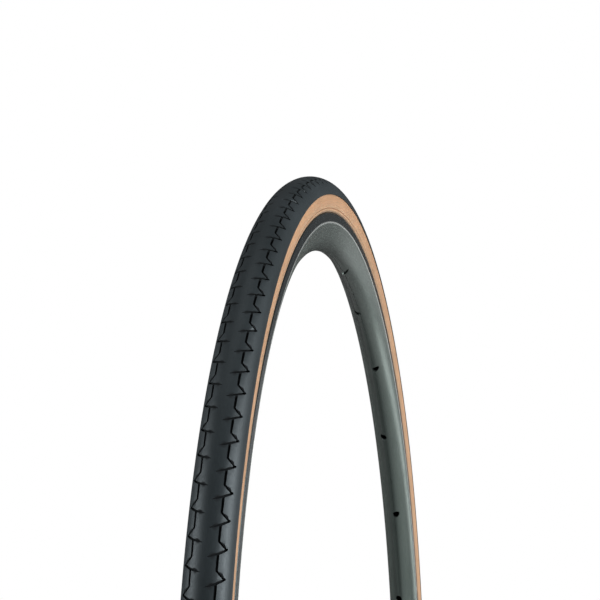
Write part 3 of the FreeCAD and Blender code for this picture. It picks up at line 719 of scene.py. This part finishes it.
def rim_cavity_rows():
    """Round the hollow, a wall's thickness inside."""
    round_inside = wall_round - WALL
    start = math.degrees(math.acos((seat - CAVITY_SIDE - wall_centre[1]) / round_inside))
    half = [(CAVITY_HALF, seat - WALL)] + arc_rows(*wall_centre, round_inside, start, wall_end, 10)
    half += arc_rows(0, nose_centre, NOSE_ROUND - WALL, wall_end, 180, 6)[1:]
    inner = [(BED_HALF + 0.5, seat - WALL), (WELL_HALF, seat - WELL_DEPTH - WALL)]
    return half + mirrored_rows(half)[1:] + [(-across, out) for across, out in inner] + inner[::-1]


HOLE_CORNERS = 28
HOLE_BEVEL = 0.12
HOLE_COLLARS = (1.1, 1.28)  # rings of points round a hole, as shares of its size
HOLE_COLUMNS = (0.0, 1.5, 3.1, 4.7, 6.6)  # rows of points to each side of a hole's middle
COLLAR_GAP = 0.12
HOLE_TOLERANCE = 0.02
SHELL_COLUMNS = 17  # the even grid of one bay
COLUMN_GAP = 1.0  # least distance between it and the rows beside a hole
SMOOTH_ROWS = 13  # rows to each side of the nose's middle without a crease
HOLE_TURNS = np.linspace(0, 2 * math.pi, HOLE_CORNERS, endpoint=False)
bed_limit = seat - 6.0  # the bed lies above it, the nose below


def drilled_shell(rows, holes, middle, inward=False):
    """One bay of a hoop's surface with round holes, laid out flat as (along, reach round the section)
    and bent back. A hole is (angle, across, radius, in the nose)."""
    loop = np.array(rows + rows[:1])
    run = np.concatenate([[0], np.cumsum(np.hypot(*np.diff(loop, axis=0).T))])
    lowest = int(np.argmin(loop[:, 1]))
    floor_row = int(np.argmin(np.where(np.arange(len(loop)) > 2 * lowest, loop[:, 1], np.inf)))
    scale = nose_centre  # lengths along the hoop are measured at the nose

    def surface(along, reach):
        return along / scale, np.interp(reach, run, loop[:, 0]), np.interp(reach, run, loop[:, 1])

    def reach_of(across, in_nose):
        if in_nose:
            lower = loop[:2 * lowest + 1]
            return float(np.interp(-across, -lower[:, 0], run[:2 * lowest + 1]))
        return run[floor_row] + across - loop[floor_row, 0]

    def round_hole(hole, radius, sink=0):
        """A hole's edge at a radius, sunk below the surface, as (angle, reach, across, out)."""
        angle, offset, _, in_nose = hole
        ring = []
        for turn in HOLE_TURNS:
            across = offset + radius * math.cos(turn)
            reach = reach_of(across, in_nose)
            out = surface(0, reach)[2] + sink
            ring.append((angle + math.asin(radius * math.sin(turn) / out), reach, across, out))
        return ring

    def edge_of_hole(hole, radius, sink=0):
        return [on_hoop(middle + angle, across, out)
                for angle, _, across, out in round_hole(hole, radius, sink)]

    def in_hole(along, reach):
        turn, across, out = surface(along, reach)
        return any(in_nose == (out < bed_limit)
                   and np.hypot(out * np.sin(turn - angle), across - offset) < radius - HOLE_TOLERANCE
                   for angle, offset, radius, in_nose in holes)

    rings = []
    for hole in holes:
        ring = np.array([(angle * scale, reach) for angle, reach, _, _ in round_hole(hole, hole[2])])
        rings.append((ring, (ring.max(0) + ring.min(0)) / 2, (ring.max(0) - ring.min(0)) / 2, hole[3]))

    def crowded(x, reach):
        """Whether a point is too near a hole's edge for the even grid."""
        return any(np.hypot(*((np.array((x, reach)) - centre) / half)) < HOLE_COLLARS[-1] + COLLAR_GAP
                   for _, centre, half, _ in rings)

    even = np.linspace(-BAY_SPAN / 2, BAY_SPAN / 2, SHELL_COLUMNS) * scale
    beside = {round(hole[0] * scale + side * away, 4)
              for hole in holes for side in (-1, 1) for away in HOLE_COLUMNS}
    columns = sorted([x for x in even if all(abs(x - near) > COLUMN_GAP for near in beside)]
                     + list(beside))
    flat, edges = [], []
    for x in (columns[0], columns[-1]):
        add_line(flat, edges, [(x, reach) for reach in run])
    for row, reach in enumerate(run):
        if abs(row - lowest) > SMOOTH_ROWS:
            add_line(flat, edges, [(x, reach) for x in columns])
        else:
            flat.extend((x, reach) for x in columns[1:-1] if not crowded(x, reach))
    for ring, centre, _, in_nose in rings:
        add_line(flat, edges, [tuple(point) for point in ring], True)
        if in_nose:
            flat.extend(tuple(centre + collar * (point - centre))
                        for collar in HOLE_COLLARS for point in ring)
    found = delaunay_2d_cdt([Vector(p) for p in flat], edges, [], 0, PLAN_TOLERANCE, False)
    points = []
    for x, reach in found[0]:
        turn, across, out = surface(x, reach)
        points.append(on_hoop(middle + turn, across, out))
    faces = [tuple(face)[::-1] if inward else tuple(face) for face in found[2]
             if not in_hole(*np.mean([tuple(found[0][corner]) for corner in face], axis=0))]
    return points, faces, edge_of_hole


def drilled_bay(holes, middle=0.0):
    """A bay of the rim: outside, hollow, and the walls of its holes."""
    outside = [(angle, offset, radius + (HOLE_BEVEL if in_nose else 0), in_nose)
               for angle, offset, radius, in_nose in holes]
    points, faces, outer_edge = drilled_shell(rim_outer_rows(), outside, middle)
    more, more_faces, inner_edge = drilled_shell(rim_cavity_rows(), holes, middle, inward=True)
    faces += [tuple(corner + len(points) for corner in face) for face in more_faces]
    points = points + more
    for hole, wide in zip(holes, outside):
        _, _, radius, in_nose = hole
        rings = [outer_edge(wide, wide[2])]
        if in_nose:
            rings.append(outer_edge(hole, radius, HOLE_BEVEL))
        rings.append(inner_edge(hole, radius))
        for first, last in zip(rings, rings[1:]):
            base = len(points)
            points += first + last
            for number in range(HOLE_CORNERS):
                after = (number + 1) % HOLE_CORNERS
                face = (base + number, base + after, base + HOLE_CORNERS + after,
                        base + HOLE_CORNERS + number)
                faces.append(face if in_nose else face[::-1])
    return points, faces


def rim_aluminium():
    """Grey anodised metal drawn along the hoop: painted shade darkening the nose, dark track, a painted
    highlight on the ridge, fine seam.
    """
    material, tree, surface = new_material("rim_aluminium", (0.1, 0.12, 0.115), 0.34, 0.75)
    place = placed(tree, wheel_place)
    where = tree.nodes.new("ShaderNodeTexCoord").outputs["Object"]
    cloud = stretched(tree, noise(tree, where, 16.0, 3.0), 0.3, 0.7)
    face = mixed(tree, cloud, (0.13, 0.168, 0.154), (0.165, 0.205, 0.19))
    out = place.outputs["Out"]
    # painted shade: the face darkens down towards the nose
    painted_nose_shade = stretched(tree, out, (nose_centre - NOSE_ROUND) * MM, (nose_centre + 4) * MM)
    track = stretched(tree, out, (ridge[1] + 0.2) * MM, (ridge[1] + 0.4) * MM)
    # painted highlight: a near-white band along the ridge's edge
    line = band(tree, out, (ridge[1] - 0.05) * MM, 0.75 * MM)
    seam = band(tree, place.outputs["Turn"], 0.0, 0.0004)
    face = mixed(tree, painted_nose_shade, (0.045, 0.058, 0.054), face)
    for mask, colour in ((track, (0.034, 0.047, 0.052)), (line, (0.9, 0.95, 0.93)),
                         (seam, (0.03, 0.035, 0.034))):
        face = mixed(tree, mask, face, colour)
    tree.links.new(face, surface.inputs["Base Color"])
    draw = tree.nodes.new("ShaderNodeCombineXYZ")
    for axis, (label, scale) in enumerate((("Out", 5200.0), ("Across", 5200.0), ("Turn", 30.0))):
        feed(tree, draw.inputs[axis], math_node(tree, "MULTIPLY", place.outputs[label], scale))
    drawn = noise(tree, draw.outputs[0], 1.0, 2.0, 0.6)
    tree.links.new(stretched(tree, drawn, 0.25, 0.75, 0.21, 0.29), surface.inputs["Roughness"])
    bumped(tree, surface, drawn, 0.004 * MM, 0.25)
    return material


SPOKE_HOLE = 2.2  # radii of the holes
ACCESS_HOLE = 3.5
VALVE_HOLE = 3.25
SPOKE_OFFSET = 1.3  # from the middle plane, to either side by turns


def hole_pair(radius, across, in_nose):
    """The two holes of one bay, half a spoke's spacing to each side of its middle."""
    half = math.pi / SPOKES
    return [(-half, across, radius, in_nose), (half, -across, radius, in_nose)]


aluminium = rim_aluminium()
spoke_holes = hole_pair(SPOKE_HOLE, SPOKE_OFFSET, True) + hole_pair(ACCESS_HOLE, 0.0, False)
valve_holes = [(0.0, 0.0, VALVE_HOLE, True), (0.0, 0.0, VALVE_HOLE, False)]
rim = new_piece("drilled_rim", *drilled_bay(spoke_holes))
valve_bay = new_piece("valve_bay", *drilled_bay(spoke_holes + valve_holes, math.pi))
repeat_bay(rim, RIM_BAYS, WHEEL_AXIS, aluminium, left_out=RIM_BAYS // 2, odd_bay=valve_bay)
bpy.data.objects.remove(valve_bay)
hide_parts("rim")
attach(rim, "rim_and_tire")

# ------------------------ valve stem
# A brass tube, turned and nickel plated, with a rolled thread from end to end and a plain neck. It is
# moulded into the tube's boot and comes through the rim at its lowest point.
VALVE_AXIS = (0.0, 0.0, 1.0)


def on_valve(turn, radius, out):
    """A point round the valve's axis, at a distance out from the wheel's axis, in mm."""
    return (radius * math.cos(turn) * MM, radius * math.sin(turn) * MM, -out * MM)


def turned_bay(rows, count, columns=1, relief=None):
    """One bay of a turned piece whose section rows (radius, out) run up the outside and down the
    inside. Relief gives how deep a row is cut at each share of the bay's width."""
    points = []
    for column in range(columns + 1):
        share = column / columns
        for row, (radius, out) in enumerate(rows):
            cut = relief(row, share) if relief else 0.0
            points.append(on_valve(2 * math.pi / count * share, radius - cut, out))
    rank = len(rows)
    return points, [face for face in loop_faces(rank, columns)
                    if any(rows[corner % rank][0] for corner in face)]


STEM_ROUND = 3.0
STEM_SIDES = 32
THREAD = 0.8
THREAD_DEPTH = 0.22
THREAD_FADES = (1.5, 0.8)  # lengths over which it fades, at the base and at the neck
THREAD_STEPS = 8  # rows in one pitch of the thread
NECK_ROUND = STEM_ROUND - 0.4
CORE_DEPTH = 16.0  # of the wider bore that takes the core
base_out, stem_end = (round(-corner.z / MM, 3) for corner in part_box("valve_stem"))
neck_out = stem_end + 4.5
air_bore = 1.55
core_bore = 2.05


def stem_mesh():
    """The stem, with a thread that runs round it once for each pitch and fades out at both ends."""
    outs = list(np.arange(base_out, neck_out, -THREAD / THREAD_STEPS)) + [neck_out]
    at_base, at_neck = THREAD_FADES
    rows = [(STEM_ROUND, out,
             THREAD_DEPTH * min(1, (base_out - out) / at_base, (out - neck_out) / at_neck))
            for out in outs]
    rows += [(NECK_ROUND, neck_out - 0.15, 0), (NECK_ROUND, stem_end + 0.25, 0),
             (NECK_ROUND - 0.2, stem_end, 0), (core_bore, stem_end, 0),
             (core_bore, stem_end + CORE_DEPTH, 0), (air_bore, stem_end + CORE_DEPTH, 0),
             (air_bore, base_out, 0)]
    points = []
    for turn in np.arange(STEM_SIDES) * 2 * math.pi / STEM_SIDES:
        for radius, out, depth in rows:
            wave = 0.5 + 0.5 * math.cos(2 * math.pi * out / THREAD + turn)
            points.append(on_valve(turn, radius - max(depth, 0) * wave, out))
    return points, loop_faces(len(rows), STEM_SIDES, ring=True)


def plated_brass(name, colour, rough):
    """Turned metal, dulled in patches where it was handled."""
    material, tree, surface = new_material(name, colour, rough, 1.0)
    where = tree.nodes.new("ShaderNodeTexCoord").outputs["Object"]
    handled = noise(tree, where, 260.0, 4.0, 0.6)
    tree.links.new(stretched(tree, handled, 0.3, 0.7, rough - 0.07, rough + 0.1),
                   surface.inputs["Roughness"])
    dull = tuple(channel * 0.78 for channel in colour)
    tree.links.new(mixed(tree, stretched(tree, handled, 0.45, 0.75), colour, dull),
                   surface.inputs["Base Color"])
    bumped(tree, surface, noise(tree, where, 2600.0, 2.0), 0.01 * MM, 0.3)
    return material


def finish_round(piece, material, crease):
    """Give a whole piece its material, shaded smooth up to a crease angle in degrees."""
    piece.data.materials.append(material)
    piece.data.shade_smooth()
    piece.data.set_sharp_from_angle(angle=math.radians(crease))


nickel = plated_brass("nickel_plate", (0.62, 0.6, 0.56), 0.26)
stem = new_piece("threaded_stem", *stem_mesh())
finish_round(stem, nickel, 50)
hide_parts("valve_stem")
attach(stem, "rim_and_tire")

# ------------------------ rim nut
# A ribbed ring nut, turned from brass and nickel plated. It screws down the stem by hand until it
# meets the rim's nose, and keeps the valve from sliding back into the rim.
NUT_RIBS = 24
nut_foot = seat - RIM_DEPTH - 0.1
nut_rows = [(3.05, nut_foot), (5.35, nut_foot), (5.85, nut_foot - 0.35), (6.0, nut_foot - 0.7),
            (6.0, nut_foot - 2.1), (6.0, nut_foot - 3.65), (5.9, nut_foot - 3.88),
            (5.65, nut_foot - 4.0), (3.5, nut_foot - 4.0), (3.05, nut_foot - 3.6)]


def nut_relief(row, share):
    """Round ribs, with plain ends."""
    ribbed = (0, 0.15, 0.8, 1, 1, 1, 0.8, 0.3, 0, 0)[row]
    return 0.34 * ribbed * max(0.0, math.cos(2 * math.pi * share)) ** 1.5


rim_nut = new_piece("ribbed_rim_nut", *turned_bay(nut_rows, NUT_RIBS, 8, nut_relief))
repeat_bay(rim_nut, NUT_RIBS, VALVE_AXIS, nickel, crease=40)
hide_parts("valve_rim_nut")
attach(rim_nut, "rim_nut")

# ------------------------ valve core
# The screwed-in core has two flats for a key. A steel pin slides through it, and a small knurled nut
# on the pin's end locks it shut. All three are turned from bright metal.
CORE_SIDES = 48
FLAT_HALF = 1.75  # from the axis to each flat
PIN_SIDES = 32
core_out = stem_end - 4.5
bright = plated_brass("bright_brass", (0.72, 0.62, 0.42), 0.24)


def core_body_mesh():
    """The core's shank inside the stem and its flatted head above it."""
    rows = [(1.0, stem_end + 15), (2.02, stem_end + 15), (2.02, stem_end), (2.1, stem_end - 0.02),
            (2.1, stem_end - 1.1), (2.1, stem_end - 1.11), (2.1, core_out + 0.1), (2.02, core_out),
            (1.0, core_out)]
    points = []
    for turn in np.arange(CORE_SIDES) * 2 * math.pi / CORE_SIDES:
        for row, (radius, out) in enumerate(rows):
            x, y, z = on_valve(turn, radius, out)
            if 5 <= row <= 7:
                y = max(-FLAT_HALF * MM, min(FLAT_HALF * MM, y))
            points.append((x, y, z))
    return points, loop_faces(len(rows), CORE_SIDES, ring=True)


core = new_piece("flatted_core", *core_body_mesh())
finish_round(core, bright, 35)
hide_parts("valve_core_body")
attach(core, "rim_and_tire")

pin_tip = core_out - 5.3
pin_head = stem_end + 16.95
pin_rows = [(0, pin_head + 0.95), (1.2, pin_head + 0.95), (1.3, pin_head + 0.85), (1.3, pin_head),
            (0.95, pin_head), (0.95, pin_tip + 0.5), (0.85, pin_tip + 0.25), (0.62, pin_tip + 0.06),
            (0.45, pin_tip), (0, pin_tip)]
pin = new_piece("core_pin_rod", *turned_bay(pin_rows, PIN_SIDES))
repeat_bay(pin, PIN_SIDES, VALVE_AXIS, plated_brass("pin_steel", (0.6, 0.6, 0.58), 0.22))
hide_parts("valve_core_pin")
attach(pin, "core_pin")

KNURLS = 30
lock_foot = core_out - 0.1
lock_rows = [(1.0, lock_foot), (1.75, lock_foot), (1.88, lock_foot - 0.12), (1.9, lock_foot - 0.3),
             (1.9, lock_foot - 1.9), (1.85, lock_foot - 2.1), (1.3, lock_foot - 3.1),
             (1.2, lock_foot - 3.2), (1.0, lock_foot - 3.2)]


def ribs(share):
    """The rise and fall of one even rib, from 1 down to 0 and back."""
    return 0.5 + 0.5 * math.cos(2 * math.pi * share)


def knurl(row, share):
    """Fine ribs round the nut's side."""
    return 0.11 * (0, 0.2, 0.8, 1, 1, 0.6, 0, 0, 0)[row] * ribs(share)


lock_nut = new_piece("knurled_lock_nut", *turned_bay(lock_rows, KNURLS, 4, knurl))
repeat_bay(lock_nut, KNURLS, VALVE_AXIS, bright, crease=50)
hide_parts("valve_core_nut")
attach(lock_nut, "lock_nut")

# ------------------------ valve cap
# A moulded cap of smoky plastic slips over the stem's neck. Fine ribs run up its skirt for grip, and
# its end is rounded.
CAP_RIBS = 20
CAP_ROUND = 1.6
mouth = stem_end + 2.2
cap_tip = pin_tip - 1.75
crown = cap_tip + CAP_ROUND
cap_rows = [(2.75, mouth), (3.5, mouth), (3.64, mouth - 0.15), (3.65, mouth - 0.5),
            (3.65, mouth - 1.0), (3.65, core_out + 0.4), (3.6, core_out), (3.38, core_out - 1.6),
            (3.2, crown + 0.6)]
cap_rows += [(1.55 + CAP_ROUND * math.cos(a), crown - CAP_ROUND * math.sin(a))
             for a in np.radians(range(0, 91, 15))]
cap_rows += [(0, cap_tip), (0, crown), (2.25, crown), (2.25, core_out), (2.75, core_out + 0.9)]


def cap_relief(row, share):
    """Even ribs on the skirt only."""
    return 0.12 * ribs(share) if 4 <= row <= 7 else 0.0


def cap_plastic():
    """Smoky plastic, scuffed in patches."""
    material, tree, surface = new_material("cap_plastic", (0.03, 0.032, 0.034), 0.28)
    where = tree.nodes.new("ShaderNodeTexCoord").outputs["Object"]
    scuffs = noise(tree, where, 420.0, 4.0, 0.65)
    tree.links.new(stretched(tree, scuffs, 0.35, 0.75, 0.22, 0.42), surface.inputs["Roughness"])
    worn = stretched(tree, scuffs, 0.5, 0.8)
    tree.links.new(mixed(tree, worn, (0.02, 0.022, 0.024), (0.045, 0.047, 0.05)),
                   surface.inputs["Base Color"])
    return material


cap = new_piece("ribbed_cap", *turned_bay(cap_rows, CAP_RIBS, 6, cap_relief))
repeat_bay(cap, CAP_RIBS, VALVE_AXIS, cap_plastic())
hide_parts("valve_cap")
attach(cap, "cap")

# ------------------------ pieces inside the tire and the rim
# The casing's plies, bead wires, inner tube, valve boot, core rubbers, rim tape and seam sleeve keep
# the shapes they were modelled with. Each gets the finish of what it is made of.


def cord_cloth(name, base, deep, ribs):
    """Rubbered cloth: fine crossed cords over a base colour."""
    material, tree, surface = new_material(name, base, 0.7)
    weave = placed(tree, cord_weave, Ribs=ribs)
    tree.links.new(mixed(tree, weave.outputs["Thread"], deep, base), surface.inputs["Base Color"])
    bumped(tree, surface, weave.outputs["Height"], 0.05 * MM, 0.7)
    return material


def soft_rubber(name, base, deep, rough):
    """Plain rubber with the moulded skin."""
    material, tree, surface = new_material(name, base, rough)
    skin = placed(tree, rubber_skin, Grain=1200.0, Cloud=60.0)
    tree.links.new(mixed(tree, skin.outputs["Bloom"], base, deep), surface.inputs["Base Color"])
    tree.links.new(stretched(tree, skin.outputs["Speckle"], 0, 1, rough - 0.06, rough + 0.1),
                   surface.inputs["Roughness"])
    bumped(tree, surface, skin.outputs["Height"], 0.04 * MM, 0.5)
    return material


INNER_FINISHES = (
    (cord_cloth("ply_cords", (0.5, 0.44, 0.34), (0.3, 0.25, 0.18), 2400.0),
     ("casing_outer_ply", "casing_inner_ply")),
    (plated_brass("bead_steel", (0.42, 0.36, 0.27), 0.35), ("bead_wire_left", "bead_wire_right")),
    (plated_brass("sleeve_aluminium", (0.7, 0.7, 0.7), 0.4), ("rim_joint_sleeve",)),
    (cord_cloth("tape_cloth", (0.62, 0.58, 0.48), (0.42, 0.38, 0.3), 3200.0), ("rim_tape",)),
    (soft_rubber("butyl_rubber", (0.018, 0.018, 0.019), (0.04, 0.04, 0.042), 0.45),
     ("inner_tube", "valve_boot")),
    (soft_rubber("seal_rubber", (0.02, 0.02, 0.02), (0.035, 0.033, 0.03), 0.5),
     ("valve_core_gasket", "valve_core_seal")),
)
for finish, nodes in INNER_FINISHES:
    for node in nodes:
        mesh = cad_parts[node].data
        mesh.materials.clear()
        mesh.materials.append(finish)
